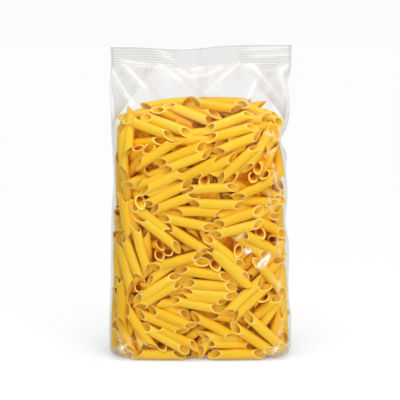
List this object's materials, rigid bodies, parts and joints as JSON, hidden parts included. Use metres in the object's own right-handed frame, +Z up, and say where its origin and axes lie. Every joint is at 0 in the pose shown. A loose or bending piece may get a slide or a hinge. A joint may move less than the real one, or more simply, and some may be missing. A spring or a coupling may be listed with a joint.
{
  "type": "pasta packet",
  "caption": "Clear side-gusset film packet with a ribbed top seal, standing upright, filled with smooth slant-cut pasta tubes.",
  "frame": {"origin": "centre of the flat base, on the floor", "axes": "+Z up to the seal; X along the packet's width; -Y out of the front panel, +Y out of the back panel with its seam"},
  "size_m": [0.1602, 0.0877, 0.27],
  "materials": {
    "clear_film": "clear glossy film, creased, milky at the ribbed seal",
    "pasta": "dry durum pasta, satin, golden yellow"
  },
  "bodies": {
    "root": {"bag": "clear_film"}
  },
  "joints": []
}
